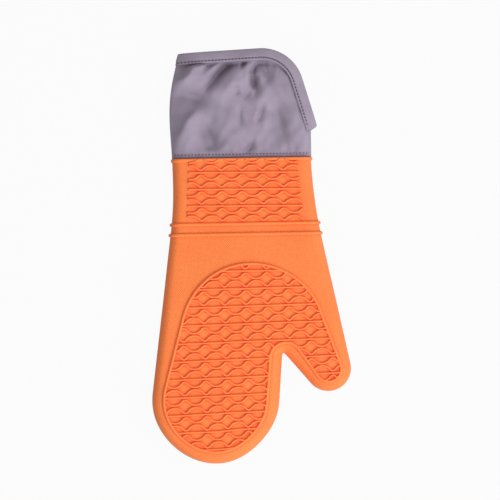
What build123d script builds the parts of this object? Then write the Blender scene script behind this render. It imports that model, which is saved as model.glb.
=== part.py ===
"""Oven mitt: a silicone hand with thumb and raised wave grip, a quilted lining and a cotton cuff.

It lies flat on its back: +Z is up and out of the palm, +Y towards the cuff, +X towards the thumb.
The hand and its lining are cut at the finger and thumb folds, so that each stretch can turn.
"""
import os
from math import atan, atan2, cos, degrees, pi, radians, sin, tan

from build123d import *

os.makedirs("parts", exist_ok=True)

# Plan of the silicone hand
finger_tip = (-32.7, -129.0)
finger_tip_radius = 57.15
crotch_clearance = 5.55
crotch = (finger_tip[0] + finger_tip_radius + crotch_clearance, -90.8)
crotch_radius = 1.6
thumb_reach = 39.3
thumb_tip = (crotch[0] + thumb_reach, -103.8)
thumb_tip_radius = 20.6
sleeve_left = -64.4
sleeve_right = 60.4
left_flare_y = 67.2
right_flare_y = 93.0
left_flare_radius = 300.0
right_flare_radius = 420.0
rim_y = 87.5

# Thickness of the hand and its layers
rib_height = 2.0
hand_thickness = 26.0
edge_radius = 8.4
shell_wall = 1.6
wadding_thickness = 3.0
lining_thickness = 0.6
middle_z = rib_height + hand_thickness / 2
top_z = 2 * middle_z
wadding_inset = shell_wall
lining_inset = wadding_inset + wadding_thickness
cavity_inset = lining_inset + lining_thickness

# Folds between the bodies
fold_gap = 0.4
row_count = 11
first_row_y = -13.7
row_pitch = 15.8
rows_above_fold = 6
finger_fold_y = first_row_y - (rows_above_fold - 0.5) * row_pitch
thumb_fold_start = (crotch[0], crotch[1] + crotch_radius / 2)
thumb_fold_angle = 24.0

# Raised grip on the palm and fingers
pad_top = (2.7, -71.5)
pad_top_radius = 64.0
finger_strip = 11.15
thumb_strip = 9.2
pad_finger_radius = finger_tip_radius - finger_strip
pad_thumb_radius = thumb_tip_radius - thumb_strip
pad_crotch = (crotch[0] + 1.5, -93.0)
pad_crotch_radius = 14.0
bead_width = 2.0
rib_width = 1.5
dip_radius = 3.0
pad_wave_dip = 2.1
pad_wave_crest = 6.9
pad_period = 19.05
pad_dip_x = -22.5

# Raised grip and bands on the sleeve
band_height = 1.2
rim_bead_width = 3.0
wrist_rib_width = 2.6
wrist_rib_rows = (28.4, 19.1)
wrist_row_count = 3
wrist_pitch = 15.0
wrist_first_y = 74.4
wrist_wave_dip = 2.25
wrist_wave_crest = 6.2
wrist_period = 18.2
wrist_dip_x = -2.75
wrist_left_top = -50.0
wrist_left_low = -53.4
wrist_right_top = 48.3
wrist_right_low = 52.4

# Cuff
cuff_thickness = 22.0
cuff_edge_radius = 10.0
cuff_left = -64.6
cuff_right = 60.6
cuff_bend_y = 140.0
cuff_bend_radius = 160.0
cuff_top_left = (-56.4, 184.7)
hem_corner = (45.7, 186.8)
hem_end = (66.5, 114.2)
hem_corner_radius = 35.0
hem_width = 10.0
cuff_cloth = 0.8
cuff_wadding = 1.8
hem_cloth = 0.8
hem_tab_thickness = 1.4
cuff_depth = 2 * cuff_cloth + cuff_wadding

# Stitches
stitch_length = 2.2
stitch_width = 0.6
stitch_height = 0.4
stitch_pitch = 3.0
rim_stitch_inset = 3.0
hem_stitch_inset = hem_width - 1.8

# Limits for shapes that are cut to length
far = 300.0
past_rim = 30.0


def save(piece, label):
    """Write one named piece to its own file."""
    piece.label = label
    export_step(piece, f"parts/{label}.step")


def belt_plan(*wheels):
    """The plan inside a belt drawn counter-clockwise round wheels, each a centre and a radius.

    A wheel with a negative radius is passed on its inner side, and one with no radius is a corner.
    """
    starts, ends, turns = [], [], []
    for (centre, radius), (next_centre, next_radius) in zip(wheels, wheels[1:] + wheels[:1]):
        span = Vector(*next_centre) - Vector(*centre)
        lean = atan((radius - next_radius) / (span.length**2 - (radius - next_radius) ** 2) ** 0.5)
        turn = atan2(span.Y, span.X) - pi / 2 + lean
        outward = Vector(cos(turn), sin(turn))
        starts.append(Vector(*centre) + outward * radius)
        ends.append(Vector(*next_centre) + outward * next_radius)
        turns.append(turn)
    with BuildSketch() as area:
        with BuildLine():
            for place, (centre, radius) in enumerate(wheels):
                Line(starts[place], ends[place])
                if radius:
                    sweep = (turns[place] - turns[place - 1]) * (1 if radius > 0 else -1)
                    middle = turns[place - 1] + sweep % (2 * pi) / 2 * (1 if radius > 0 else -1)
                    crown = Vector(*centre) + Vector(cos(middle), sin(middle)) * radius
                    ThreePointArc(ends[place - 1], crown, starts[place])
        make_face()
    return area.sketch


def plan_of(*points):
    """A plan with straight sides."""
    with BuildSketch() as area:
        with BuildLine():
            Polyline(*points, close=True)
        make_face()
    return area.sketch


def moved_plan(plan, distance):
    """A plan with its edge moved outwards by a distance."""
    with BuildSketch() as area:
        add(plan)
        offset(amount=distance, mode=Mode.REPLACE)
    return area.sketch


def part_of(solid, plan, low, high):
    """The stretch of a solid that lies inside a plan, between two heights."""
    with BuildPart() as stretch:
        add(solid)
        with BuildSketch(Plane.XY.offset(low)):
            add(plan)
        extrude(amount=high - low, mode=Mode.INTERSECT)
    return stretch.part


# Hand outline, running past the rim
sleeve_end = rim_y + past_rim
hand_plan = belt_plan(
    (finger_tip, finger_tip_radius),
    (crotch, -crotch_radius),
    (thumb_tip, thumb_tip_radius),
    ((sleeve_right + right_flare_radius, right_flare_y), -right_flare_radius),
    ((sleeve_right, sleeve_end), 0),
    ((sleeve_left, sleeve_end), 0),
    ((sleeve_left - left_flare_radius, left_flare_y), -left_flare_radius),
)


def hand_form(inset):
    """The hand's rounded form, its surface moved inwards by an inset, running past the rim."""
    with BuildPart() as form:
        with BuildSketch(Plane.XY.offset(rib_height + inset)):
            add(hand_plan)
            if inset:
                offset(amount=-inset, mode=Mode.REPLACE)
        extrude(amount=hand_thickness - 2 * inset)
        levels = form.edges().group_by(Axis.Z)
        fillet(
            levels[0].sort_by(Axis.Y)[:-1] + levels[-1].sort_by(Axis.Y)[:-1],
            radius=edge_radius - inset,
        )
    return form.part


bands_form = hand_form(-band_height)
outer_form = hand_form(0)
wadding_form = hand_form(wadding_inset)
lining_form = hand_form(lining_inset)
cavity_form = hand_form(cavity_inset)

# Plans of the three bodies of the hand, with the fold gap between them
fold_slope = tan(radians(thumb_fold_angle))
fold_step = fold_gap / 2 / cos(radians(thumb_fold_angle))
crotch_x, crotch_y = thumb_fold_start
far_fold_y = crotch_y + (far - crotch_x) * fold_slope
palm_plan = plan_of(
    (-far, rim_y),
    (far, rim_y),
    (far, far_fold_y + fold_step),
    (crotch_x, crotch_y + fold_step),
    (crotch_x, finger_fold_y + fold_gap / 2),
    (-far, finger_fold_y + fold_gap / 2),
)
finger_plan = plan_of(
    (-far, finger_fold_y - fold_gap / 2),
    (crotch_x, finger_fold_y - fold_gap / 2),
    (crotch_x, -far),
    (-far, -far),
)
thumb_plan = plan_of(
    (crotch_x, crotch_y - fold_step),
    (far, far_fold_y - fold_step),
    (far, -far),
    (crotch_x, -far),
)
body_plans = {"palm": palm_plan, "finger": finger_plan, "thumb": thumb_plan}
sides = {"front": (middle_z, far), "back": (-far, middle_z)}

# Silicone skin: the sleeve carries the rim bead and two wrist ribs, all round
band_rows = [(rim_y - rim_bead_width / 2, rim_bead_width)]
band_rows += [(row, wrist_rib_width) for row in wrist_rib_rows]
with BuildPart() as bands:
    add(bands_form)
    add(wadding_form, mode=Mode.SUBTRACT)
    with BuildSketch():
        for row, width in band_rows:
            with Locations((0, row)):
                Rectangle(far, width)
    extrude(amount=far, mode=Mode.INTERSECT)
with BuildPart() as skin:
    add(outer_form)
    add(wadding_form, mode=Mode.SUBTRACT)
    add(bands.part)
for body, plan in body_plans.items():
    with BuildPart() as shell:
        add(part_of(skin.part, plan, -far, far))
    save(shell.part, f"{body}_shell")

# Quilted lining: wadding with a cotton face, in front and back halves
with BuildPart() as wadding_layer:
    add(wadding_form)
    add(lining_form, mode=Mode.SUBTRACT)
with BuildPart() as lining_layer:
    add(lining_form)
    add(cavity_form, mode=Mode.SUBTRACT)
for body, plan in body_plans.items():
    for side, (low, high) in sides.items():
        with BuildPart() as wadding:
            add(part_of(wadding_layer.part, plan, low, high))
        save(wadding.part, f"{body}_wadding_{side}")
        with BuildPart() as lining:
            add(part_of(lining_layer.part, plan, low, high))
        save(lining.part, f"{body}_lining_{side}")


def wave_strip(period, wave_dip, wave_crest):
    """One wave rib above a straight rib at height 0, made of arcs, with a dip at the middle."""
    swing = 2 * atan(2 * (wave_crest - wave_dip) / period)
    half_count = int(finger_tip_radius * 3 / period)
    dips = [period * step for step in range(-half_count, half_count + 1)]

    def edge_arcs(shift):
        """Arcs of the wave's edge, shifted across it; returns the two end points."""
        run = (dip_radius - shift) * sin(swing)
        level = wave_dip + dip_radius - (dip_radius - shift) * cos(swing)
        for x in dips:
            ThreePointArc((x - run, level), (x, wave_dip + shift), (x + run, level))
        for x in dips[:-1]:
            crest = (x + period / 2, wave_crest + shift)
            ThreePointArc((x + run, level), crest, (x + period - run, level))
        return (dips[0] - run, level), (dips[-1] + run, level)

    with BuildSketch() as strip:
        with BuildLine():
            low_ends = edge_arcs(-rib_width / 2)
            high_ends = edge_arcs(rib_width / 2)
            for low_end, high_end in zip(low_ends, high_ends):
                Line(low_end, high_end)
        make_face()
    return strip.sketch


def grip_ribs(rows, waves_above, waves_below, above, dip_x, area):
    """Straight ribs at some rows and a wave strip above or below others, kept inside an area."""
    below = mirror(above, about=Plane.XZ)
    with BuildSketch() as ribs:
        with Locations(*[(dip_x, row) for row in rows]):
            Rectangle(far, rib_width)
        with Locations(*[(dip_x, row) for row in waves_above]):
            add(above)
        with Locations(*[(dip_x, row) for row in waves_below]):
            add(below)
        add(area, mode=Mode.INTERSECT)
    return ribs.sketch


# Pad outline: a round top with lobes for the fingers and the thumb
pad_plan = belt_plan(
    (finger_tip, pad_finger_radius),
    (pad_crotch, -pad_crotch_radius),
    (thumb_tip, pad_thumb_radius),
    (pad_top, pad_top_radius),
)

# Wave grip of the palm, fingers and thumb, bounded by a bead, on both faces
pad_rows = [first_row_y - row_pitch * step for step in range(row_count)]
pad_wave = wave_strip(pad_period, pad_wave_dip, pad_wave_crest)
pad_ribs = grip_ribs(pad_rows, pad_rows, pad_rows, pad_wave, pad_dip_x, pad_plan)
with BuildSketch() as pad_grip:
    add(moved_plan(pad_plan, bead_width / 2))
    add(moved_plan(pad_plan, -bead_width / 2), mode=Mode.SUBTRACT)
    add(pad_ribs)
rib_levels = {"front": top_z - rib_height, "back": 0}
for body, plan in body_plans.items():
    for side, level in rib_levels.items():
        with BuildPart() as grip:
            with BuildSketch(Plane.XY.offset(level)):
                add(pad_grip.sketch)
                add(plan, mode=Mode.INTERSECT)
            extrude(amount=rib_height)
        save(grip.part, f"{body}_grip_{side}")

# Wave grip of the wrist, with open ends, between the rim bead and the first wrist rib
wrist_low = wrist_rib_rows[0] + wrist_rib_width / 2
wrist_high = rim_y - rim_bead_width
wrist_area = plan_of(
    (wrist_left_low, wrist_low),
    (wrist_right_low, wrist_low),
    (wrist_right_top, wrist_high),
    (wrist_left_top, wrist_high),
)
wrist_rows = [wrist_first_y - wrist_pitch * step for step in range(wrist_row_count)]
row_over = wrist_first_y + wrist_pitch
row_under = wrist_rows[-1] - wrist_pitch
wrist_grip = grip_ribs(
    wrist_rows,
    wrist_rows + [row_under],
    [row_over] + wrist_rows,
    wave_strip(wrist_period, wrist_wave_dip, wrist_wave_crest),
    wrist_dip_x,
    wrist_area,
)
for side, level in rib_levels.items():
    with BuildPart() as wrist:
        with BuildSketch(Plane.XY.offset(level)):
            add(wrist_grip)
        extrude(amount=rib_height)
    save(wrist.part, f"wrist_grip_{side}")

# Cuff: a flattened cotton tube, its opening cut by the curved hem line
cuff_base = middle_z - cuff_thickness / 2
cuff_start = rim_y + fold_gap
lean = (cuff_top_left[0] - cuff_left) / (cuff_top_left[1] - cuff_bend_y)
with BuildSketch() as cuff_outline:
    with BuildLine():
        FilletPolyline(
            (cuff_left, 0),
            (cuff_left, cuff_bend_y),
            (cuff_left + lean * (far - cuff_bend_y), far),
            radius=cuff_bend_radius,
        )
        Polyline(
            (cuff_left + lean * (far - cuff_bend_y), far),
            (cuff_right, far),
            (cuff_right, 0),
            (cuff_left, 0),
        )
    make_face()


def cuff_form(inset):
    """The cuff's tube with its surface moved inwards by an inset, left long at both ends."""
    with BuildPart() as form:
        with BuildSketch(Plane.XY.offset(cuff_base + inset)):
            add(cuff_outline.sketch)
            if inset:
                offset(amount=-inset, mode=Mode.REPLACE)
        extrude(amount=cuff_thickness - 2 * inset)
        levels = form.edges().group_by(Axis.Z)
        fillet(
            levels[0].sort_by(Axis.Y)[1:-1] + levels[-1].sort_by(Axis.Y)[1:-1],
            radius=cuff_edge_radius - inset,
        )
    return form.part


# Hem line: along the top, round a corner and down the thumb side
hem_top = Vector(*hem_corner) - Vector(*cuff_top_left)
hem_side = Vector(*hem_end) - Vector(*hem_corner)
top_inward = Vector(hem_top.Y, -hem_top.X).normalized()
side_inward = Vector(hem_side.Y, -hem_side.X).normalized()


def hem_points(inset):
    """Far left point, corner and end of the hem line, moved into the cuff by an inset."""
    left = Vector(*hem_corner) - hem_top.normalized() * far + top_inward * inset
    shift = (top_inward + side_inward) * (inset / (1 + top_inward.dot(side_inward)))
    return left, Vector(*hem_corner) + shift, Vector(*hem_end) + side_inward * inset


def inside_hem(inset):
    """The plan of the cuff below and left of the hem line, moved inwards by an inset."""
    left, corner, end = hem_points(inset)
    with BuildSketch() as area:
        with BuildLine():
            FilletPolyline(left, corner, end, radius=hem_corner_radius - inset)
            Polyline(end, (far, end.Y), (far, cuff_start), (left.X, cuff_start), left)
        make_face()
    return area.sketch


def hem_strip(width):
    """The plan of a strip along the hem line, with a square end."""
    outer = hem_points(0)
    inner = hem_points(width)
    with BuildSketch() as strip:
        with BuildLine():
            FilletPolyline(*outer, radius=hem_corner_radius)
            FilletPolyline(*inner, radius=hem_corner_radius - width)
            Line(outer[0], inner[0])
            Line(outer[-1], inner[-1])
        make_face()
    return strip.sketch


# Cuff layers, cut back from the hem line by the fold of the band
cuff_plan = inside_hem(hem_cloth)
cuff_steps = {
    "cuff_panel": (0, cuff_cloth),
    "cuff_wadding": (cuff_cloth, cuff_cloth + cuff_wadding),
    "cuff_lining": (cuff_cloth + cuff_wadding, cuff_depth),
}
cuff_forms = {
    inset: cuff_form(inset)
    for inset in (-hem_cloth, 0, cuff_cloth, cuff_cloth + cuff_wadding, cuff_depth)
}
cuff_forms[cuff_depth + hem_cloth] = cuff_form(cuff_depth + hem_cloth)
for label, (outer_inset, inner_inset) in cuff_steps.items():
    with BuildPart() as layer:
        add(cuff_forms[outer_inset])
        add(cuff_forms[inner_inset], mode=Mode.SUBTRACT)
    for side, (low, high) in sides.items():
        with BuildPart() as cuff_layer:
            add(part_of(layer.part, cuff_plan, low, high))
        save(cuff_layer.part, f"{label}_{side}")

# Hem band: folded over the cuff's edge, with a flat end that stands out at the thumb side
band_plan = hem_strip(hem_width)
with BuildSketch() as tab_outline:
    with Locations((cuff_right + hem_cloth / 2, 0)):
        Rectangle(far, far, align=(Align.MIN, Align.CENTER))
    add(band_plan, mode=Mode.INTERSECT)
with BuildPart() as cuff_wall:
    add(cuff_forms[0])
    add(cuff_forms[cuff_depth], mode=Mode.SUBTRACT)
cuff_edge = part_of(cuff_wall.part, cuff_plan, -far, far)
with BuildPart() as fold:
    add(cuff_forms[-hem_cloth])
    add(cuff_forms[cuff_depth + hem_cloth], mode=Mode.SUBTRACT)
    add(cuff_edge, mode=Mode.SUBTRACT)
for side, (low, high) in sides.items():
    tab_height = hem_tab_thickness if side == "front" else -hem_tab_thickness
    with BuildPart() as band:
        add(part_of(fold.part, band_plan, low, high))
        with BuildSketch(Plane.XY.offset(middle_z)):
            add(tab_outline.sketch)
        extrude(amount=tab_height)
    save(band.part, f"hem_band_{side}")

# Stitch rows on the flat of the cuff, along the hem and above the rim
flat_left = cuff_top_left[0] + cuff_edge_radius
flat_right = cuff_right - cuff_edge_radius
with BuildLine() as hem_stitch_line:
    FilletPolyline(*hem_points(hem_stitch_inset), radius=hem_corner_radius - hem_stitch_inset)
stitch_path = hem_stitch_line.wire()
stitch_steps = range(int(stitch_path.length / stitch_pitch))
stitch_places = []
for step in stitch_steps:
    share = step * stitch_pitch / stitch_path.length
    place = stitch_path @ share
    along = stitch_path % share
    if flat_left < place.X < flat_right:
        turn = degrees(atan(along.Y / along.X))
        stitch_places.append(Location((place.X, place.Y, 0), (0, 0, turn)))
rim_stitch_count = int((flat_right - flat_left) / stitch_pitch)
rim_stitch_y = cuff_start + rim_stitch_inset
rim_stitch_places = [
    Location((flat_left + stitch_pitch * (step + 0.5), rim_stitch_y, 0))
    for step in range(rim_stitch_count)
]
stitch_rows = {
    "hem_stitching": (stitch_places, cuff_thickness / 2 + hem_cloth),
    "rim_stitching": (rim_stitch_places, cuff_thickness / 2),
}
for label, (places, level) in stitch_rows.items():
    for side, sign in (("front", 1), ("back", -1)):
        with BuildPart() as stitches:
            with BuildSketch(Plane.XY.offset(middle_z + sign * level)):
                with Locations(*places):
                    SlotOverall(stitch_length, stitch_width)
            extrude(amount=sign * stitch_height)
        save(stitches.part, f"{label}_{side}")
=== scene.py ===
"""Oven mitt: the look of its silicone hand, wave grip, quilted lining and cotton cuff.

Lengths are in millimetres and become metres when a piece is made. The mitt lies on its back:
+Z is up and out of the palm, +Y runs to the cuff and +X to the thumb.
"""

import bmesh
import bpy
import numpy as np
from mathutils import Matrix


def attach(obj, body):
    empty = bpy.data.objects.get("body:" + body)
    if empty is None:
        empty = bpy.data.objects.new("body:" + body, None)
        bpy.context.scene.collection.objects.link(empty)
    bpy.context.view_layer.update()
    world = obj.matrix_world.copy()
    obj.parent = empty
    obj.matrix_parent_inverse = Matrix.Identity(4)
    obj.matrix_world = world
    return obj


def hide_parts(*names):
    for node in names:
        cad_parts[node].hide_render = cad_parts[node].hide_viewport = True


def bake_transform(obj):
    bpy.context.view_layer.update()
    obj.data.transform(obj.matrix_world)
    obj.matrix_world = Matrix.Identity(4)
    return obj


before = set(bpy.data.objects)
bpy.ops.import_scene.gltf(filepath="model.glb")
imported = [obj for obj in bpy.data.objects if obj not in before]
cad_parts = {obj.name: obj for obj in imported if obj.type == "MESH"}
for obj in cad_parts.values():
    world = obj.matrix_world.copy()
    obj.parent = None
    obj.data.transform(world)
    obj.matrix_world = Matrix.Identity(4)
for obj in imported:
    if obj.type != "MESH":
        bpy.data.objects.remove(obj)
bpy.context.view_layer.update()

# Plan of the silicone hand
finger_tip, finger_tip_radius = (-32.7, -129.0), 57.15
thumb_tip, thumb_tip_radius = (69.3, -103.8), 20.6
crotch, crotch_radius = (30.0, -90.8), 1.6
sleeve_left, sleeve_right = -64.4, 60.4
left_flare_y, left_flare_radius = 67.2, 300.0
right_flare_y, right_flare_radius = 93.0, 420.0
rim_y = 87.5
hand_spine = np.array([finger_tip, (-8.0, -60.0), (-2.0, 10.0), (-2.0, rim_y)])
outline_step = 1.6
wrist_shear = 0.017

# Heights, and the rounded edge of the hand
middle_z = 15.0
hand_half = 13.0
edge_width = 9.5
edge_fullness = 2.3
quilt_inset = 3.4

# Fold at the thumb's root: the way square to its line
thumb_fold_away = np.array((0.406737, -0.913545))

# Raised grip
pad_top, pad_top_radius = (2.7, -71.5), 64.0
pad_finger_radius, pad_thumb_radius = 46.0, 11.4
pad_crotch, pad_crotch_radius = (31.5, -93.0), 14.0
first_row_y, row_pitch, row_count = -13.7, 15.8, 11
pad_period, pad_dip_x, pad_dip, pad_crest = 19.0, -21.0, 2.1, 6.9
wrist_first_y, wrist_pitch, wrist_row_count = 74.4, 15.0, 3
wrist_period, wrist_dip_x, wrist_dip, wrist_crest = 18.4, -2.8, 2.25, 6.2
wrist_area = np.array([(-53.4, 29.0), (52.4, 29.0), (48.3, 86.6), (-50.0, 86.6)])
dip_radius = 3.0
column_lean = 0.0078
rib_width, bead_width, rib_height = 2.5, 3.4, 2.0
wrist_rib_rows, wrist_rib_width, wrist_rib_height = (28.4, 19.1), 3.8, 1.8

# Cuff and its stitching
cuff_left, cuff_right, cuff_tuck_y = -64.6, 60.8, 84.5
cuff_top_left, hem_corner, hem_end = (-57.6, 182.9), (46.6, 186.0), (67.1, 114.0)
hem_corner_radius = 38.0
cloth_inset = 6.0
cuff_half, cuff_swell, hem_pinch = 11.0, 1.1, 0.6
left_fold, right_fold = 0.18, 0.15
left_bulge = 4.7
rim_bias = 0.35
lining_depth = 3.4
deepest_crease, back_swell, hem_tuck = 12.0, 2.4, 1.6
stitch_pitch, stitch_half_size, stitch_lift = 3.0, (1.0, 0.5, 0.36), 0.1
hem_stitch_inset, hem_stitch_height = 8.2, 1.55
rim_stitch_y, rim_stitch_sink = 90.9, 0.22


# Shapes

def smooth(share):
    """Ease from 0 to 1 as a share runs from 0 to 1."""
    share = np.clip(share, 0, 1)
    return share * share * (3 - 2 * share)


def belt(wheels, step, closed=False):
    """Points and outward directions along a belt laid counter-clockwise round wheels.

    Each wheel is a centre and a radius. The belt runs straight between wheels, touching both, and
    turns on each in an arc. A wheel of negative radius is passed on its inner side. Points are a
    step apart, and closer on arcs under 14 mm.
    """
    wheels = wheels + wheels[:2] if closed else wheels
    centres = np.array([centre for centre, _ in wheels], float)
    radii = np.array([radius for _, radius in wheels], float)
    spans = np.diff(centres, axis=0)
    lean = np.arcsin((radii[:-1] - radii[1:]) / np.hypot(*spans.T))
    turns = np.arctan2(spans[:, 1], spans[:, 0]) - np.pi / 2 + lean
    points, outwards = [], []
    for run in range(len(spans)):
        outward = np.array((np.cos(turns[run]), np.sin(turns[run])))
        start = centres[run] + radii[run] * outward
        end = centres[run + 1] + radii[run + 1] * outward
        count = max(2, int(np.hypot(*(end - start)) / step))
        share = np.linspace(0, 1, count, endpoint=False)[:, None]
        if not closed or run < len(spans) - 1:
            points.append(start + (end - start) * share)
            outwards.append(np.repeat(outward[None], count, axis=0))
        if run < len(spans) - 1 and radii[run + 1]:
            radius = radii[run + 1]
            sign = np.sign(radius)
            sweep = sign * ((turns[run + 1] - turns[run]) * sign % (2 * np.pi))
            count = max(8, int(abs(sweep) * max(abs(radius), 14.0) / step))
            angle = turns[run] + sweep * np.linspace(0, 1, count, endpoint=False)
            around = np.stack([np.cos(angle), np.sin(angle)], axis=1)
            points.append(centres[run + 1] + radius * around)
            outwards.append(around)
    return np.concatenate(points), np.concatenate(outwards)


def inside(points, loop):
    """True for the points of an array that lie inside a closed loop, by counting crossings."""
    within = np.zeros(points.shape[:-1], bool)
    for (x0, y0), (x1, y1) in zip(loop, np.roll(loop, -1, axis=0)):
        if y0 != y1:
            crossed = (y0 > points[..., 1]) != (y1 > points[..., 1])
            at = x0 + (points[..., 1] - y0) * (x1 - x0) / (y1 - y0)
            within ^= crossed & (points[..., 0] < at)
    return within


def settled(points):
    """Points in plan, drawn in a little at the finger end's two lower corners.

    The share drawn in goes with the squared sine of twice the bearing from the end's centre. It is
    larger on the thumb's side.
    """
    off = points - np.array(finger_tip)
    turn = np.arctan2(off[:, 1], off[:, 0])
    draw = np.where(off[:, 0] > 0, 0.035, 0.016) * np.sin(2 * turn) ** 2 * (off[:, 1] < 0)
    draw = draw * (np.hypot(*off.T) < 1.2 * finger_tip_radius)
    return points - off * draw[:, None]


def ripple(x, y):
    """The silicone's slow unevenness: three crossing swells, in millimetres of height."""
    swell = 0.22 * np.sin(x / 21 + y / 37 + 0.6) + 0.16 * np.sin(y / 17 - x / 29 + 2.1)
    return swell + 0.1 * np.sin(x / 11 + 1.1) * np.sin(y / 13)


def spine_spots(spine, way, points, step):
    """The place on a spine that lies level with each point, measured one way in even steps."""
    gone = spine @ way
    level = np.clip(np.round(points @ way / step) * step, gone.min(), gone.max())
    order = np.argsort(gone)
    spots = [np.interp(level, gone[order], spine[order, axis]) for axis in (0, 1)]
    return np.stack(spots, axis=1)


# Section of the hand: a rounded edge, from its outermost point to its top, and rows on the level
edge_angles = np.linspace(0, np.pi / 2, 12)
edge_insets = edge_width * (1 - np.cos(edge_angles) ** (2 / edge_fullness))
edge_heights = np.sin(edge_angles) ** (2 / edge_fullness)
level_rows = 16


def hand_surface(rim_points, outwards, spine, way, inset):
    """A closed form over part of the hand's plan, as rows of points from its front to its back.

    Each column starts on the spine, runs level to the rounded edge, follows the edge round to the
    back and returns to the spine. Its height over the middle is the half thickness times the
    edge's quarter curve.
    """
    half = hand_half - inset
    level = np.linspace(0, 1, level_rows, endpoint=False)[:, None, None]
    shoulder = rim_points - outwards * (inset + edge_width)
    spots = spine_spots(spine, way, shoulder, 4.0)
    flat = spots + (shoulder - spots) * level
    curve = rim_points - outwards * (inset + edge_insets[::-1, None, None])
    plan = np.concatenate([flat, curve])
    height = np.concatenate([np.ones(level_rows), edge_heights[::-1]])[:, None]
    rise = height * (half + ripple(plan[..., 0], plan[..., 1]))
    front = np.concatenate([plan, middle_z + rise[..., None]], axis=-1)
    back = np.concatenate([plan, middle_z - rise[..., None]], axis=-1)
    return np.concatenate([front, back[-2::-1]])


def wave_height(x, period, dip, crest):
    """Height of a wave over its row: narrow arcs at its dips run into wide arcs at its crests."""
    swing = 2 * np.arctan(2 * (crest - dip) / period)
    crest_radius = period / 2 / np.sin(swing) - dip_radius
    across = np.abs((x + period / 2) % period - period / 2)
    low = dip + dip_radius - np.sqrt(np.maximum(dip_radius**2 - across**2, 0))
    high = np.maximum(crest_radius**2 - (period / 2 - across) ** 2, 0)
    high = crest - crest_radius + np.sqrt(high)
    return np.where(across < dip_radius * np.sin(swing), low, high)


def runs_of(path, keep):
    """The stretches of a path where keep is true, each up to the next point, without scraps."""
    cuts = np.flatnonzero(np.diff(keep.astype(int))) + 1
    stretches = np.split(np.arange(len(path)), cuts)
    return [path[part[0] : part[-1] + 2] for part in stretches if keep[part[0]] and len(part) > 3]


def rib_profile(width, height):
    """Section of a moulded rib, foot to foot over a round top: places across it and heights."""
    across = np.array([0.0, 0.3, 0.52, 0.68, 0.8, 0.88, 0.94])
    rise = np.array([1.0, 0.97, 0.86, 0.66, 0.36, 0.1, -0.1])
    across = np.concatenate([-across[:0:-1], across])
    return across * width / 2, np.concatenate([rise[:0:-1], rise]) * height


def rib_along(path, profile, round_ends=False):
    """A rib on the front face: the profile carried square along a path in plan.

    Round ends shrink the profile along a quarter circle over the last stretch of the path.
    """
    ahead = np.gradient(path, axis=0)
    ahead = ahead / np.hypot(*ahead.T)[:, None]
    aside = np.stack([ahead[:, 1], -ahead[:, 0]], axis=1)
    across, rise = profile
    size = np.ones(len(path))
    if round_ends:
        gone = np.concatenate([[0], np.cumsum(np.hypot(*np.diff(path, axis=0).T))])
        from_end = np.clip(np.minimum(gone, gone[-1] - gone) / 1.3, 0, 1)
        size = np.sqrt(1 - (1 - from_end) ** 2)
    plan = path[None] + aside[None] * (across[:, None] * size)[..., None]
    base = middle_z + hand_half + ripple(path[:, 0], path[:, 1])
    height = base + np.where(rise[:, None] > 0, rise[:, None] * size, rise[:, None])
    return np.concatenate([plan, height[..., None]], axis=-1)


def to_back(grid):
    """The same grid on the back face, turned so that it still faces outwards."""
    return (grid * (1, 1, -1) + (0, 0, 2 * middle_z))[::-1]


def on_side(grids, side):
    """Grids made for the front face, or the same on the back face."""
    return grids if side == "front" else [to_back(grid) for grid in grids]


# Meshes

def wrist_turned(points):
    """Points with those of the wrist moved along the mitt, by a share of how far aside they lie.

    The move comes in between the palm and the wrist, and dies out along the cuff.
    """
    ahead = points[:, 1]
    near = smooth((ahead + 45) / 50) * smooth((170 - ahead) / 60)
    return points - near[:, None] * points[:, :1] * np.array([0.0, wrist_shear, 0.0])


def piece(name, grids, material, wrap=False, weld=False):
    """An object from grids of points, each joined into quads; wrap closes each grid on itself."""
    points, faces, count = [], [], 0
    for grid in grids:
        rows, columns = grid.shape[:2]
        index = count + np.arange(rows * columns).reshape(rows, columns)
        if wrap:
            index = np.concatenate([index, index[:, :1]], axis=1)
        corners = (index[:-1, :-1], index[1:, :-1], index[1:, 1:], index[:-1, 1:])
        faces.append(np.stack(corners, axis=-1).reshape(-1, 4))
        points.append(grid.reshape(-1, 3))
        count += rows * columns
    mesh = bpy.data.meshes.new(name)
    points = wrist_turned(np.concatenate(points)) * 0.001
    mesh.from_pydata(points.tolist(), [], np.concatenate(faces).tolist())
    if weld:
        work = bmesh.new()
        work.from_mesh(mesh)
        bmesh.ops.remove_doubles(work, verts=work.verts, dist=1e-6)
        work.to_mesh(mesh)
        work.free()
    mesh.polygons.foreach_set("use_smooth", np.ones(len(mesh.polygons), bool))
    mesh.materials.append(material)
    made = bpy.data.objects.new(name, mesh)
    bpy.context.scene.collection.objects.link(made)
    return made


def points_of(made):
    """The vertices of a piece in millimetres, as one array."""
    flat = np.empty(len(made.data.vertices) * 3)
    made.data.vertices.foreach_get("co", flat)
    return flat.reshape(-1, 3) * 1000


def lean_of(made):
    """How far each vertex of a piece faces up, from 1 for straight up to -1 for straight down."""
    flat = np.empty(len(made.data.vertices) * 3)
    made.data.vertices.foreach_get("normal", flat)
    return flat.reshape(-1, 3)[:, 2]


def paint(made, name, values):
    """Store one number for each vertex of a piece, for its material to read."""
    made.data.attributes.new(name, "FLOAT", "POINT").data.foreach_set("value", values)


def bend_fingers(made):
    """Bake a piece's placement into its points."""
    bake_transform(made)


def bend_thumb(made):
    """Bake a piece's placement into its points."""
    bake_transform(made)


def bend_cuff(made):
    """Bake a piece's placement into its points."""
    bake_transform(made)


# Materials

white = (1.0, 1.0, 1.0)


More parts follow.
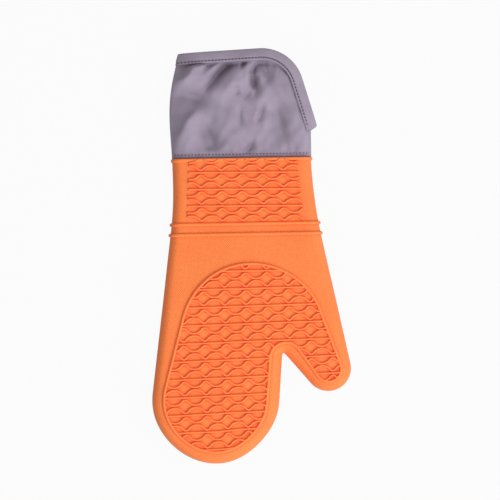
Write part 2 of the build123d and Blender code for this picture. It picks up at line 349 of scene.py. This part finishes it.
class Surface:
    """A node material, built up one node at a time."""

    def __init__(self, name):
        self.material = bpy.data.materials.new(name)
        self.material.use_nodes = True
        self.tree = self.material.node_tree
        self.shader = self.tree.nodes["Principled BSDF"]

    def node(self, kind, settings=None, **values):
        """Add a node with settings and input values; a value may be another node's output."""
        made = self.tree.nodes.new(kind)
        for label, value in (settings or {}).items():
            setattr(made, label, value)
        for label, value in values.items():
            self.put(made.inputs[label.replace("_", " ")], value)
        return made

    def put(self, socket, value):
        """Set an input, or join it to an output."""
        if isinstance(value, bpy.types.NodeSocket):
            self.tree.links.new(value, socket)
        else:
            socket.default_value = value

    def shade(self, **values):
        """Set inputs of the shader by name."""
        for label, value in values.items():
            self.put(self.shader.inputs[label.replace("_", " ")], value)

    def ramp(self, source, *stops):
        """Colours along a value, from stops of place and colour."""
        made = self.node("ShaderNodeValToRGB", Fac=source)
        bands = made.color_ramp.elements
        while len(bands) < len(stops):
            bands.new(0.5)
        for band, (place, colour) in zip(bands, stops):
            band.position, band.color = place, (*colour, 1)
        return made.outputs["Color"]

    def spread(self, source, low, high):
        """A value from 0 to 1, spread between two numbers."""
        made = self.node("ShaderNodeMapRange", Value=source)
        made.inputs["To Min"].default_value, made.inputs["To Max"].default_value = low, high
        return made.outputs["Result"]

    def bump(self, height, strength, depth, under=None):
        """Relief from a height, over any relief underneath."""
        made = self.node("ShaderNodeBump", Height=height, Strength=strength, Distance=depth)
        if under:
            self.put(made.inputs["Normal"], under)
        return made.outputs["Normal"]

    def math(self, operation, first, second):
        """A value worked out from two others."""
        made = self.node("ShaderNodeMath", {"operation": operation})
        self.put(made.inputs[0], first)
        self.put(made.inputs[1], second)
        return made.outputs["Value"]

    def tint(self, colour, tone):
        """A colour multiplied by another, with a Mix node, whose colours are sockets 6 and 7."""
        made = self.node("ShaderNodeMix", {"data_type": "RGBA", "blend_type": "MULTIPLY"})
        for socket, value in ((0, 1.0), (6, colour), (7, tone)):
            self.put(made.inputs[socket], value)
        return made.outputs[2]

    def paint_shade_in_hollows(self, colour, reach, closed, clear):
        """A colour with painted shade, tinted by how open the surface is within a reach, from two
        stops of a ramp.
        """
        shelter = self.node("ShaderNodeAmbientOcclusion", {"samples": 12}, Distance=reach)
        return self.tint(colour, self.ramp(shelter.outputs["AO"], closed, clear))


def silicone(name, embossed):
    """Matt moulded orange silicone, slightly cloudy, with painted shade that turns it darker and
    redder in its grooves.

    Embossed silicone has a fine diamond grain, from two crossing waves, where the piece's own
    attribute asks for it. Its colour is a touch darker where the grain's waves run high, as painted
    shade.
    """
    skin = Surface(name)
    place = skin.node("ShaderNodeTexCoord").outputs["Object"]
    cloud = skin.node("ShaderNodeTexNoise", Vector=place, Scale=28.0, Detail=4.0).outputs["Fac"]
    fine = skin.node("ShaderNodeTexNoise", Vector=place, Scale=900.0, Detail=2.0).outputs["Fac"]
    colour = skin.ramp(cloud, (0.3, (0.935, 0.212, 0.05)), (0.7, (0.965, 0.236, 0.058)))
    # Painted shade: darker and redder where the surface is sheltered, in the grooves beside the
    # ribs and the bead
    colour = skin.paint_shade_in_hollows(colour, 0.0036, (0.25, (0.98, 0.26, 0.2)), (0.9, white))
    relief = skin.bump(fine, 0.12, 0.0003)
    if embossed:
        waves = []
        for turn in (0.785, -0.785):
            turned = skin.node("ShaderNodeMapping", Vector=place, Rotation=(0, 0, turn))
            wave = skin.node("ShaderNodeTexWave", Vector=turned.outputs["Vector"], Scale=210.0)
            waves.append(wave.outputs["Fac"])
        where = skin.node("ShaderNodeAttribute", {"attribute_name": "grain"}).outputs["Fac"]
        grain = skin.math("MULTIPLY", skin.math("MULTIPLY", *waves), where)
        relief = skin.bump(grain, 0.55, 0.0007, relief)
        # Painted shade in the grain: a touch darker where its waves run high
        colour = skin.tint(colour, skin.ramp(grain, (0.0, white), (0.7, (1.0, 0.95, 0.94))))
    skin.shade(
        Base_Color=colour,
        Roughness=skin.spread(cloud, 0.46, 0.6),
        Specular_IOR_Level=0.3,
        Sheen_Weight=0.16,
        Sheen_Roughness=0.4,
        Normal=relief,
    )
    return skin.material


def cotton(name, dark, light):
    """Plain-woven cotton: crossing threads in relief, clouded dark to light, with painted shade in
    its folds.
    """
    cloth = Surface(name)
    place = cloth.node("ShaderNodeTexCoord").outputs["Object"]
    cloud = cloth.node("ShaderNodeTexNoise", Vector=place, Scale=60.0, Detail=5.0).outputs["Fac"]
    colour = cloth.ramp(cloud, (0.3, dark), (0.7, light))
    # Painted shade: darker where the cloth is sheltered, in its folds, its puckers and under the
    # hem
    colour = cloth.paint_shade_in_hollows(colour, 0.016, (0.45, (0.4, 0.36, 0.4)), (0.97, white))
    threads = []
    for direction in ("X", "Y"):
        wave = cloth.node(
            "ShaderNodeTexWave",
            {"bands_direction": direction},
            Vector=place,
            Scale=330.0,
            Distortion=1.2,
        )
        threads.append(wave.outputs["Fac"])
    weave = cloth.math("ADD", *threads)
    slub = cloth.node("ShaderNodeTexNoise", Vector=place, Scale=420.0, Detail=3.0).outputs["Fac"]
    relief = cloth.bump(slub, 0.25, 0.0004)
    cloth.shade(
        Base_Color=colour,
        Roughness=cloth.spread(cloud, 0.78, 0.92),
        Specular_IOR_Level=0.2,
        Sheen_Weight=0.25,
        Sheen_Roughness=0.5,
        Normal=cloth.bump(weave, 0.3, 0.0002, relief),
    )
    return cloth.material


def sewing_thread(name):
    """Dark twisted sewing thread."""
    thread = Surface(name)
    place = thread.node("ShaderNodeTexCoord").outputs["Object"]
    diagonal = {"bands_direction": "DIAGONAL"}
    twist = thread.node("ShaderNodeTexWave", diagonal, Vector=place, Scale=900.0).outputs["Fac"]
    thread.shade(
        Base_Color=thread.ramp(twist, (0.0, (0.04, 0.03, 0.045)), (1.0, (0.09, 0.07, 0.1))),
        Roughness=thread.spread(twist, 0.6, 0.8),
        Normal=thread.bump(twist, 0.4, 0.0001),
    )
    return thread.material


skin_silicone = silicone("skin_silicone", embossed=True)
grip_silicone = silicone("grip_silicone", embossed=False)
cuff_cotton = cotton("cuff_cotton", (0.285, 0.239, 0.315), (0.34, 0.288, 0.373))
lining_cotton = cotton("lining_cotton", (0.28, 0.24, 0.315), (0.35, 0.3, 0.39))
dark_thread = sewing_thread("dark_thread")


# Silicone hand

outline, outwards = belt(
    [
        ((sleeve_left, rim_y), 0),
        ((sleeve_left - left_flare_radius, left_flare_y), -left_flare_radius),
        (finger_tip, finger_tip_radius),
        (crotch, -crotch_radius),
        (thumb_tip, thumb_tip_radius),
        ((sleeve_right + right_flare_radius, right_flare_y), -right_flare_radius),
        ((sleeve_right, rim_y + 30), 0),
    ],
    outline_step,
)
kept = outline[:, 1] < rim_y + outline_step
outline, outwards = settled(np.minimum(outline[kept], (np.inf, rim_y))), outwards[kept]

# Root of the thumb: a line over the hand from the crotch to the thumb's far side
shoulder = outline - outwards * edge_width
at_crotch = np.flatnonzero(np.hypot(*(outline - crotch).T) < crotch_radius * 1.01)
crotch_at = at_crotch[len(at_crotch) // 2]
root_start = shoulder[crotch_at]
root_off = (shoulder - root_start) @ thumb_fold_away
root_at = np.argmin(np.where(shoulder[:, 0] < thumb_tip[0], np.inf, np.abs(root_off)))
root_end = shoulder[root_at]
root_along = (root_end - root_start) / np.hypot(*(root_end - root_start))
root_away = np.array((root_along[1], -root_along[0]))
root_middle = root_start + root_along * (np.array(thumb_tip) - root_start).dot(root_along)
thumb_spine = np.array([thumb_tip, root_middle])
root_steps = np.linspace(0, 1, 16, endpoint=False)[1:, None]
root_line = np.concatenate(
    [
        root_start + (root_middle - root_start) * root_steps,
        root_middle[None],
        root_middle + (root_end - root_middle) * root_steps,
    ]
)


def whole_hand(inset):
    """Grids of the palm with the fingers, and of the thumb, moved inwards by an inset.

    They share their edge at the thumb's root, where the palm's rounded edge is left open.
    """
    hand_rim = np.concatenate([outline[: crotch_at + 1], root_line, outline[root_at:]])
    hand_out = np.concatenate(
        [outwards[: crotch_at + 1], np.zeros_like(root_line), outwards[root_at:]]
    )
    hand = hand_surface(hand_rim, hand_out, hand_spine, np.array((0, 1)), inset)
    root_back_at = crotch_at + len(root_line) + 1
    root = slice(crotch_at, root_back_at + 1)
    hand_parts = [
        hand[:, : crotch_at + 1],
        hand[:, root_back_at:],
        hand[: level_rows + 1, root],
        hand[-level_rows - 1 :, root],
    ]
    thumb_part = slice(crotch_at, root_at + 1)
    way = (root_middle - thumb_tip) / np.hypot(*(root_middle - thumb_tip))
    thumb = hand_surface(outline[thumb_part], outwards[thumb_part], thumb_spine, way, inset)
    return hand_parts, [thumb]


pad_loop, _ = belt(
    [
        (finger_tip, pad_finger_radius),
        (pad_crotch, -pad_crotch_radius),
        (thumb_tip, pad_thumb_radius),
        (pad_top, pad_top_radius),
    ],
    0.7,
    closed=True,
)
pad_loop = settled(pad_loop)

hand_grids, thumb_grids = whole_hand(0)
hand_skin = piece("hand_skin", hand_grids, skin_silicone, weld=True)
thumb_skin = piece("thumb_skin", thumb_grids, skin_silicone, weld=True)
for made in (hand_skin, thumb_skin):
    plan = points_of(made)[:, :2]
    smooth_skin = inside(plan, pad_loop) | inside(plan, wrist_area)
    paint(made, "grain", smooth((np.abs(lean_of(made)) - 0.35) / 0.5) * ~smooth_skin)
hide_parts("palm_shell", "finger_shell")
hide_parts("thumb_shell")
bend_fingers(hand_skin)
bend_thumb(thumb_skin)


# Quilted lining inside the hand

hand_grids, thumb_grids = ([grid[:, ::-1] for grid in grids] for grids in whole_hand(quilt_inset))
hand_quilt = piece("hand_quilt", hand_grids, lining_cotton, weld=True)
thumb_quilt = piece("thumb_quilt", thumb_grids, lining_cotton, weld=True)
sides = ("front", "back")
for made, bodies in ((hand_quilt, ("palm", "finger")), (thumb_quilt, ("thumb",))):
    for body in bodies:
        for side in sides:
            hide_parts(f"{body}_wadding_{side}", f"{body}_lining_{side}")
bend_fingers(hand_quilt)
bend_thumb(thumb_quilt)


# Wave grip of the palm, fingers and thumb

def row_lean(row):
    """How much a row of the grip rises for each millimetre across, as the mitt lies a bit bent."""
    return np.clip(-0.0002 * (row + 45.0), -0.009, 0.028)


def grip_lines(rows, above, below, period, dip_x, dip, crest):
    """Paths of straight ribs on rows, and of waves over and under rows, right across the mitt."""
    x = np.arange(-100.0, 100.0, 0.55)
    lines = [(row, 0) for row in rows] + [(row, 1) for row in above] + [(row, -1) for row in below]
    paths = []
    for row, sign in lines:
        wave = sign * wave_height(x - dip_x - column_lean * row, period, dip, crest)
        paths.append(settled(np.stack([x, row + row_lean(row) * x + wave], axis=1)))
    return paths


def on_thumb(points):
    """True for the points beyond the thumb's root."""
    return ((points - root_start) @ root_away > 0) & (points[:, 0] > root_start[0])


pad_rows = first_row_y - row_pitch * np.arange(row_count)
rib = rib_profile(rib_width, rib_height)
bead = rib_profile(bead_width, rib_height)
grips = {"hand": [], "thumb": []}
for path in grip_lines(pad_rows, pad_rows, pad_rows, pad_period, pad_dip_x, pad_dip, pad_crest):
    in_pad, beyond = inside(path, pad_loop), on_thumb(path)
    grips["hand"] += [rib_along(run, rib) for run in runs_of(path, in_pad & ~beyond)]
    grips["thumb"] += [rib_along(run, rib) for run in runs_of(path, in_pad & beyond)]
bead_start = np.argmax(pad_loop[:, 1])
bead_path = np.roll(pad_loop, -bead_start, axis=0)
bead_path = np.concatenate([bead_path, bead_path[:1]])
beyond = on_thumb(bead_path)
grips["hand"] += [rib_along(run, bead) for run in runs_of(bead_path, ~beyond)]
grips["thumb"] += [rib_along(run, bead) for run in runs_of(bead_path, beyond)]
grip_nodes = {"hand": ("palm", "finger"), "thumb": ("thumb",)}
for part, grids in grips.items():
    for side in sides:
        made = piece(f"{part}_grip_{side}", on_side(grids, side), grip_silicone)
        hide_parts(*[f"{body}_grip_{side}" for body in grip_nodes[part]])
        (bend_fingers if part == "hand" else bend_thumb)(made)


# Wave grip of the wrist

wrist_rows = wrist_first_y - wrist_pitch * np.arange(wrist_row_count)
wrist_grids = []
for path in grip_lines(
    wrist_rows,
    [*wrist_rows, wrist_rows[-1] - wrist_pitch],
    [wrist_rows[0] + wrist_pitch, *wrist_rows],
    wrist_period,
    wrist_dip_x,
    wrist_dip,
    wrist_crest,
):
    runs = runs_of(path, inside(path, wrist_area))
    wrist_grids += [rib_along(run, rib, round_ends=True) for run in runs]
for side in sides:
    made = piece(f"wrist_grip_{side}", on_side(wrist_grids, side), grip_silicone)
    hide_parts(f"wrist_grip_{side}")
    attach(made, "palm")


# Rim bead and wrist ribs, all round the sleeve

left_side = outline[: np.argmin(outline[:, 0])][::-1]
right_side = outline[np.argmax(outline[:, 0]) :]


def sleeve_band(row, profile):
    """A band round the sleeve at one row: places along the sleeve and heights over its section."""
    left = np.interp(row, left_side[:, 1], left_side[:, 0])
    right = np.interp(row, right_side[:, 1], right_side[:, 0])
    level = np.linspace(0, 1, 60)[1:-1]
    inner_left, inner_right = left + edge_width, right - edge_width
    x = np.concatenate(
        [
            right - edge_insets,
            inner_right + (inner_left - inner_right) * level,
            (left + edge_insets)[::-1],
        ]
    )
    rise = np.concatenate([edge_heights, np.ones_like(level), edge_heights[::-1]])
    z = rise * (hand_half + ripple(x, row))
    x = np.concatenate([x, x[-2:0:-1]])
    z = np.concatenate([z, -z[-2:0:-1]])
    ahead = np.stack([np.roll(x, -1) - np.roll(x, 1), np.roll(z, -1) - np.roll(z, 1)])
    ahead = ahead / np.hypot(*ahead)
    along, rise = profile
    grid = np.empty((len(along), len(x), 3))
    grid[..., 0] = x + ahead[1] * rise[:, None]
    grid[..., 1] = row + along[:, None]
    grid[..., 2] = middle_z + z - ahead[0] * rise[:, None]
    return grid


# Section of the rim bead, over the edge and down inside it: places along the sleeve and heights
lip = (
    np.array([-2.4, -1.75, -1.5, -1.0, -0.3, 0.4, 1.0, 1.4, 1.5, 1.5, 1.4]),
    np.array([-0.3, 0.15, 0.65, 1.05, 1.2, 1.2, 1.05, 0.6, 0.1, -1.2, -2.6]),
)
wrist_rib = rib_profile(wrist_rib_width, wrist_rib_height)
bands = [sleeve_band(rim_y - 1.5, lip)]
bands += [sleeve_band(row, wrist_rib) for row in wrist_rib_rows]
sleeve_bands = piece("sleeve_bands", bands, grip_silicone, wrap=True)
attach(sleeve_bands, "palm")


# Cotton cuff

top_run = np.subtract(hem_corner, cuff_top_left)
side_run = np.subtract(hem_end, hem_corner)
top_in = np.array((top_run[1], -top_run[0])) / np.hypot(*top_run)
side_in = np.array((side_run[1], -side_run[0])) / np.hypot(*side_run)
turn_centre = hem_corner + (top_in + side_in) * hem_corner_radius / (1 + top_in.dot(side_in))
hem_points, hem_out = belt(
    [(hem_end, 0), (tuple(turn_centre), hem_corner_radius), (cuff_top_left, 0)], 0.5
)
hem_points, hem_out = hem_points[::-1], hem_out[::-1]
hem_gone = np.concatenate([[0], np.cumsum(np.hypot(*np.diff(hem_points, axis=0).T))])
hem_length = hem_gone[-1]


def on_hem(share, inset):
    """Places at shares of the hem line's length, moved into the cuff, and the way inwards there."""
    gone = share * hem_length
    line = np.stack([np.interp(gone, hem_gone, hem_points[:, axis]) for axis in (0, 1)], axis=-1)
    inward = -np.stack([np.interp(gone, hem_gone, hem_out[:, axis]) for axis in (0, 1)], axis=-1)
    return line + inward * np.asarray(inset)[..., None], inward


def quarter(share):
    """A rounded edge: height from 0 to 1 as a share runs from 0 to 1."""
    return (1 - (1 - np.clip(share, 0, 1)) ** edge_fullness) ** (1 / edge_fullness)


def cuff_round(share, up=1.0):
    """Share of the cuff's half thickness, rounded off at its left fold and its thumb-side fold.

    The left fold is tighter near the rim, where the cloth fills the silicone sleeve.
    """
    left = left_fold * (0.42 + 0.58 * smooth(up / 0.4))
    return quarter(share / left) * quarter((1 - share) / right_fold)


# Each crease: its height (a groove is below 0), its widths to the left and right of the way along
# it, how round it is at the line, and the line itself
creases = (
    (-8.0, 14.5, 8.0, 0.06,
     ((12, 199), (-7, 177.5), (-12, 171.5), (-20, 163), (-29, 154), (-46, 139))),
    (3.4, 16.0, 13.0, 0.5, ((-42, 156), (-20, 150.5), (4, 150))),
    (8.6, 22.0, 6.4, 0.1, ((-28, 192), (-40.5, 172), (-46, 164), (-51, 159), (-84, 149))),
    (-7.1, 13.0, 13.0, 0.25, ((-90, 146), (-58, 144.5), (-48, 144), (-40, 142), (-20, 134))),
    (7.5, 20.0, 8.5, 0.12, ((-34, 138), (-45.5, 125), (-52, 116), (-58, 107), (-72, 92))),
    (-3.8, 6.0, 3.6, 0.12, ((-22, 190), (-28, 176.5), (-29.5, 172), (-36, 162))),
    (-4.0, 4.5, 3.4, 0.12, ((7, 188), (3, 175), (1, 170), (-0.5, 165.5))),
    (-6.1, 10.0, 5.0, 0.1,
     ((20, 190), (16.5, 175.5), (14.5, 171.5), (10.8, 165), (11.5, 158), (13, 149), (8, 138))),
    (-5.6, 13.0, 8.0, 0.12, ((18, 194), (21, 177), (22.5, 170), (23.5, 163), (26, 147))),
    (-4.1, 9.0, 9.0, 0.2, ((13, 163), (10.5, 153.5), (0, 138))),
    (-2.5, 6.0, 5.0, 0.3, ((-4, 156), (-4, 142))),
    (-1.7, 5.0, 4.0, 0.2, ((-3, 138), (-1.7, 129), (-1.0, 121), (-2, 112))),
    (-2.9, 6.0, 4.5, 0.2, ((20, 140), (17.6, 130), (16.2, 125), (13, 115))),
    (-6.4, 13.0, 17.0, 0.25, ((27, 148), (33, 122), (33.5, 92))),
    (-6.2, 13.0, 14.0, 0.25, ((-38, 120), (-30, 106), (-25, 90))),
    (-3.3, 7.0, 5.0, 0.2, ((10, 110), (6.3, 99), (3.6, 93), (0, 80))),
    (1.5, 13.0, 13.0, 0.5, ((-4, 178), (-3, 142))),
    (3.1, 19.0, 21.0, 0.5, ((-32, 121), (8, 98))),
    (-6.2, 20.0, 12.0, 0.1, ((-52, 202), (-64, 166), (-72, 146))),
    (-5.9, 18.0, 10.0, 0.1, ((-63, 142), (-66, 118), (-64, 90))),
)


def wrinkles(x, y):
    """Height of the cuff's creases at places in plan: each a groove or swell along a broken line.

    The height falls off from the line over a width of its own on either side, as the square of what
    is left of that width. It is rounded at the line and dies out towards the line's ends. The lines
    waver a little, and a fine crumple is added all over.
    """
    height = np.zeros(np.shape(x))
    waver_x = 0.7 * np.sin(y / 6.1 + 0.4) + 0.3 * np.sin(y / 2.7 + x / 9)
    waver_y = 0.6 * np.sin(x / 7.3)
    x, y = x + waver_x, y + waver_y
    for depth, left, right, roundness, line in creases:
        nearest, width, gone = (np.full(np.shape(x), value) for value in (1000.0, left, 0.0))
        before = 0.0
        for start, end in zip(line, line[1:]):
            span = np.subtract(end, start)
            length = np.hypot(*span)
            ahead, aside = x - start[0], y - start[1]
            share = np.clip((ahead * span[0] + aside * span[1]) / length**2, 0, 1)
            off = np.hypot(ahead - share * span[0], aside - share * span[1])
            here = np.where(span[0] * aside > span[1] * ahead, left, right)
            width = np.where(off < nearest, here, width)
            gone = np.where(off < nearest, before + share * length, gone)
            nearest = np.minimum(off, nearest)
            before += length
        bend = roundness * width
        left_over = np.clip(1 - (np.hypot(nearest, bend) - bend) / width, 0, 1)
        ends = smooth(2.6 * gone / before) * smooth(2.6 * (1 - gone / before))
        height += depth * left_over**2 * ends
    crumple = np.sin(x / 2.7 + 1.5 * np.sin(y / 7.0)) * np.sin(y / 3.6 + 1.2 * np.sin(x / 5.7))
    return height + 0.4 * crumple


def puckers(along, away):
    """Small gathers beside a line of stitches, dying out over a few millimetres away from it."""
    swing = np.sin(along / 1.9 + 1.7 * np.sin(along / 11.0)) + 0.6 * np.sin(along / 1.15 + 0.8)
    return 0.4 * (swing - 0.8) * np.exp(-np.maximum(away, 0) / 5.0)


def rim_place(share):
    """Share of the rim's width at a share of the hem's length; the hem's left half takes more."""
    return share * (1 + rim_bias - rim_bias * share)


def hem_share(place):
    """Share of the hem's length at a share of the rim's width, the reverse of rim_place."""
    reach = 1 + rim_bias
    return (reach - np.sqrt(reach**2 - 4 * rim_bias * place)) / (2 * rim_bias)


def cuff_surface(share, up, side, depth=0.0):
    """The cuff's cloth: share runs along the hem, up from the rim to the hem, side is 1 or -1.

    Columns run straight from the rim to the hem, and bulge at the left. The height over the middle
    is the half thickness, fuller half way up, times the rounding of the two folds, with the creases
    added. They die out at the hem and the rim, where the cloth is gathered along the stitches. The
    back has the same creases mirrored, with low swells, so that it lies flat. A lining lies deeper
    by a depth, and takes up the creases only where the cloth would press on it.
    """
    top, _ = on_hem(share, cloth_inset)
    length = top[..., 1] - cuff_tuck_y
    rim_x = cuff_left + (cuff_right - cuff_left) * rim_place(share)
    bulge = left_bulge * np.sin(np.pi * up**1.25) * (1 - share) ** 3
    x = rim_x + (top[..., 0] - rim_x) * up - bulge
    y = cuff_tuck_y + length * up
    from_hem, from_rim = length * (1 - up), length * up
    fold = cuff_round(share, up)
    height = fold * (cuff_half - depth + cuff_swell * np.sin(np.pi * up) - hem_pinch * up)
    loose = smooth((from_hem - 3.5) / 4.0) * smooth((from_rim - 4.0) / 9.0) * fold
    if side > 0:
        dents = wrinkles(x, y)
    else:
        dents = wrinkles(-4.0 - 0.9 * x, y)
        dents = np.where(dents > 0, back_swell * np.tanh(dents / back_swell), dents)
    dents = np.where(dents < 0, deepest_crease * np.tanh(dents / deepest_crease), dents)
    if depth:
        dents = np.minimum(0.3 * dents, dents + 0.7 * depth)
    else:
        dents = dents + puckers(share * hem_length, from_hem - 5.0)
        dents = dents + 1.2 * puckers(x + 31.0, from_rim - 7.0)
        dents = dents - hem_tuck * np.exp(-(((from_hem - 5.2) / 1.2) ** 2))
    x = x + depth * (share < left_fold) * (1 - fold)
    return np.stack([x, y, middle_z + side * (height + dents * loose)], axis=-1)


def fold_shares(between):
    """Shares along the hem, closer together at its two folds, with a number of them between."""
    left = left_fold * (1 - np.cos(np.linspace(0, np.pi / 2, 24, endpoint=False)))
    level = np.linspace(left_fold, 1 - right_fold, between, endpoint=False)
    right = 1 - right_fold * (1 - np.cos(np.linspace(np.pi / 2, 0, 20)))
    return np.concatenate([left, level, right])


def cuff_grid(depth):
    """The cuff's tube as rows from the rim to the hem, going round its front and back."""
    share = fold_shares(130)[None]
    up = np.linspace(0, 1, 84)[:, None]
    front = cuff_surface(share, up, 1, depth)
    back = cuff_surface(share, up, -1, depth)
    return np.concatenate([front[:, ::-1], back[:, 1:-1]], axis=1)


cuff_cloth = piece("cuff_cloth", [cuff_grid(0.0)[::-1]], cuff_cotton, wrap=True)
cuff_lining = piece("cuff_lining", [cuff_grid(lining_depth)], lining_cotton, wrap=True)
for side in sides:
    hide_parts(f"cuff_panel_{side}", f"cuff_wadding_{side}")
    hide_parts(f"cuff_lining_{side}")
bend_cuff(cuff_cloth)
bend_cuff(cuff_lining)


# Hem band and stitching

# Section of the band, from its inner edge outside, over the fold, to its inner edge inside: insets
# from the hem line and heights over the cloth
band_profile = (
    (10.35, -0.6), (10.5, 0.6), (10.3, 1.7), (9.7, 2.2), (8.6, 1.75), (8.2, 1.35), (7.8, 1.6),
    (6.5, 1.45), (4.5, 0.85), (2.5, 0.1), (1.0, -0.5), (0.2, -1.0), (-0.2, -1.6), (-0.2, -2.6),
    (0.2, -3.6), (1.0, -4.1), (4.0, -4.3), (9.5, -4.3), (10.2, -4.1), (10.2, -3.2),
)


def hem_surface(share, inset, height, side):
    """The hem band at shares of the hem line: insets from it, and heights square to the cloth.

    Round the corner and down the thumb side, an inset reaches back over cloth that belongs to a
    smaller share.
    """
    line, inward = on_hem(share, 0.0)
    step = 1e-3
    half = cuff_half - hem_pinch
    under = share - 0.013 * smooth((share - 0.44) / 0.3) * np.maximum(inset - cloth_inset, 0)
    fold = cuff_round(under)
    slope = (cuff_round(under + step) - cuff_round(under - step)) * half / (2 * step * hem_length)
    along = np.stack([-inward[..., 1], inward[..., 0]], axis=-1)
    lift = height / np.sqrt(1 + slope**2)
    plan = line + inward * np.asarray(inset)[..., None] - along * (lift * slope)[..., None]
    z = middle_z + side * (fold * half + lift)
    return np.concatenate([plan, z[..., None]], axis=-1)


band_share = np.clip(fold_shares(120), 0.002, 0.998)[None]
band_in, band_up = np.array(band_profile).T[..., None]
band_front = hem_surface(band_share, band_in, band_up, 1)
band_back = hem_surface(band_share, band_in, band_up, -1)
hem_grid = np.concatenate([band_front[:, ::-1], band_back], axis=1)
hem_band = piece("hem_band", [hem_grid], cuff_cotton, wrap=True)
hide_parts("hem_band_front", "hem_band_back")
bend_cuff(hem_band)


def stitch_row(places, ahead, side):
    """Stitches as small bars, one at each place, turned along the row and rounded at their ends.

    A bar's girth is the square root of one less the cube of the way out to its end.
    """
    along, around = np.meshgrid(np.linspace(-1, 1, 7), np.linspace(0, 2 * np.pi, 6, endpoint=False))
    girth = np.sqrt(np.maximum(1 - np.abs(along) ** 3, 0.02))
    bar = np.stack([along, girth * np.cos(around), girth * np.sin(around)], axis=-1)
    bar = np.swapaxes(bar * stitch_half_size, 0, 1)
    aside = np.stack([-ahead[:, 1], ahead[:, 0]], axis=1)
    grids = []
    for place, way, across in zip(places, ahead, aside):
        plan = place[:2] + bar[..., :1] * way + bar[..., 1:2] * across
        grids.append(np.concatenate([plan, place[2] + side * stitch_lift + bar[..., 2:]], axis=-1))
    return grids


hem_stitch_share = np.arange(2.0, hem_length - 4.0, stitch_pitch) / hem_length
rim_width = cuff_right - cuff_left
rim_stitch_share = hem_share(np.arange(3.5, rim_width - 3.0, stitch_pitch) / rim_width)
_, hem_inward = on_hem(hem_stitch_share, 0.0)
hem_ahead = np.stack([-hem_inward[:, 1], hem_inward[:, 0]], axis=1)
rim_ahead = np.repeat([[1.0, 0.0]], len(rim_stitch_share), axis=0)
rim_tops, _ = on_hem(rim_stitch_share, cloth_inset)
rim_stitch_up = (rim_stitch_y - cuff_tuck_y) / (rim_tops[:, 1] - cuff_tuck_y)
for side, sign in (("front", 1), ("back", -1)):
    hem_places = hem_surface(hem_stitch_share, hem_stitch_inset, hem_stitch_height, sign)
    rim_places = cuff_surface(rim_stitch_share, rim_stitch_up, sign)
    rim_places = rim_places - sign * np.array([0, 0, rim_stitch_sink])
    for edge, places, ahead in (("hem", hem_places, hem_ahead), ("rim", rim_places, rim_ahead)):
        stitches = stitch_row(places, ahead, sign)
        made = piece(f"{edge}_stitching_{side}", stitches, dark_thread, wrap=True)
        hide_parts(f"{edge}_stitching_{side}")
        bend_cuff(made)


# Floor, light and camera

floor_mesh = bpy.data.meshes.new("floor")
floor_mesh.from_pydata([(-3, -3, 0), (3, -3, 0), (3, 3, 0), (-3, 3, 0)], [], [(0, 1, 2, 3)])
floor = bpy.data.objects.new("floor", floor_mesh)
bpy.context.scene.collection.objects.link(floor)

# The paper looks bright to the camera, and throws back little light onto the mitt
paper = Surface("white_paper")
paper.shade(Base_Color=(0.35, 0.35, 0.35, 1), Roughness=0.9, Specular_IOR_Level=0.1)
seen = paper.node("ShaderNodeLightPath").outputs["Is Camera Ray"]
bright = paper.node("ShaderNodeEmission", Strength=1.0)
mixed = paper.node("ShaderNodeMixShader", Fac=paper.math("MULTIPLY", seen, 0.95))
paper.put(mixed.inputs[1], paper.shader.outputs["BSDF"])
paper.put(mixed.inputs[2], bright.outputs["Emission"])
paper.put(paper.tree.nodes["Material Output"].inputs["Surface"], mixed.outputs["Shader"])
floor_mesh.materials.append(paper.material)

# Light from all round, stronger from the side of the thumb and the fingertips
world = bpy.data.worlds.new("studio")
world.use_nodes = True
sky = world.node_tree
backdrop = sky.nodes["Background"]
backdrop.inputs["Color"].default_value = (1.0, 0.99, 0.98, 1)
way_out = sky.nodes.new("ShaderNodeTexCoord")
towards = sky.nodes.new("ShaderNodeVectorMath")
towards.operation = "DOT_PRODUCT"
towards.inputs[1].default_value = (0.73, -0.68, 0)
glow = sky.nodes.new("ShaderNodeMapRange")
for label, value in (("From Min", -1.0), ("To Min", 0.47), ("To Max", 0.85)):
    glow.inputs[label].default_value = value
sky.links.new(way_out.outputs["Generated"], towards.inputs[0])
sky.links.new(towards.outputs["Value"], glow.inputs["Value"])
sky.links.new(glow.outputs["Result"], backdrop.inputs["Strength"])
bpy.context.scene.world = world


def softbox(name, place, power, size):
    """A square studio light aimed at the middle of the mitt."""
    light = bpy.data.lights.new(name, "AREA")
    light.energy, light.size = power, size
    lamp = bpy.data.objects.new(name, light)
    lamp.location = place
    direction = -lamp.location.normalized()
    lamp.rotation_mode = "QUATERNION"
    lamp.rotation_quaternion = direction.to_track_quat("-Z", "Y")
    bpy.context.scene.collection.objects.link(lamp)


softbox("right_softbox", (1.0, -0.94, 1.32), 31, 1.6)

# The camera looks straight down and sees 0.45 m across at the mitt's middle height
view_width = 0.45
lens = bpy.data.cameras.new("camera")
lens.lens, lens.sensor_width, lens.clip_end = 180, 36, 50
camera = bpy.data.objects.new("camera", lens)
camera.location = (0.0028, 0.0048, 0.001 * middle_z + view_width * lens.lens / lens.sensor_width)
camera.rotation_euler = (0, 0, np.radians(-2.0))
bpy.context.scene.collection.objects.link(camera)
bpy.context.scene.camera = camera
bpy.context.scene.view_settings.view_transform = "Standard"
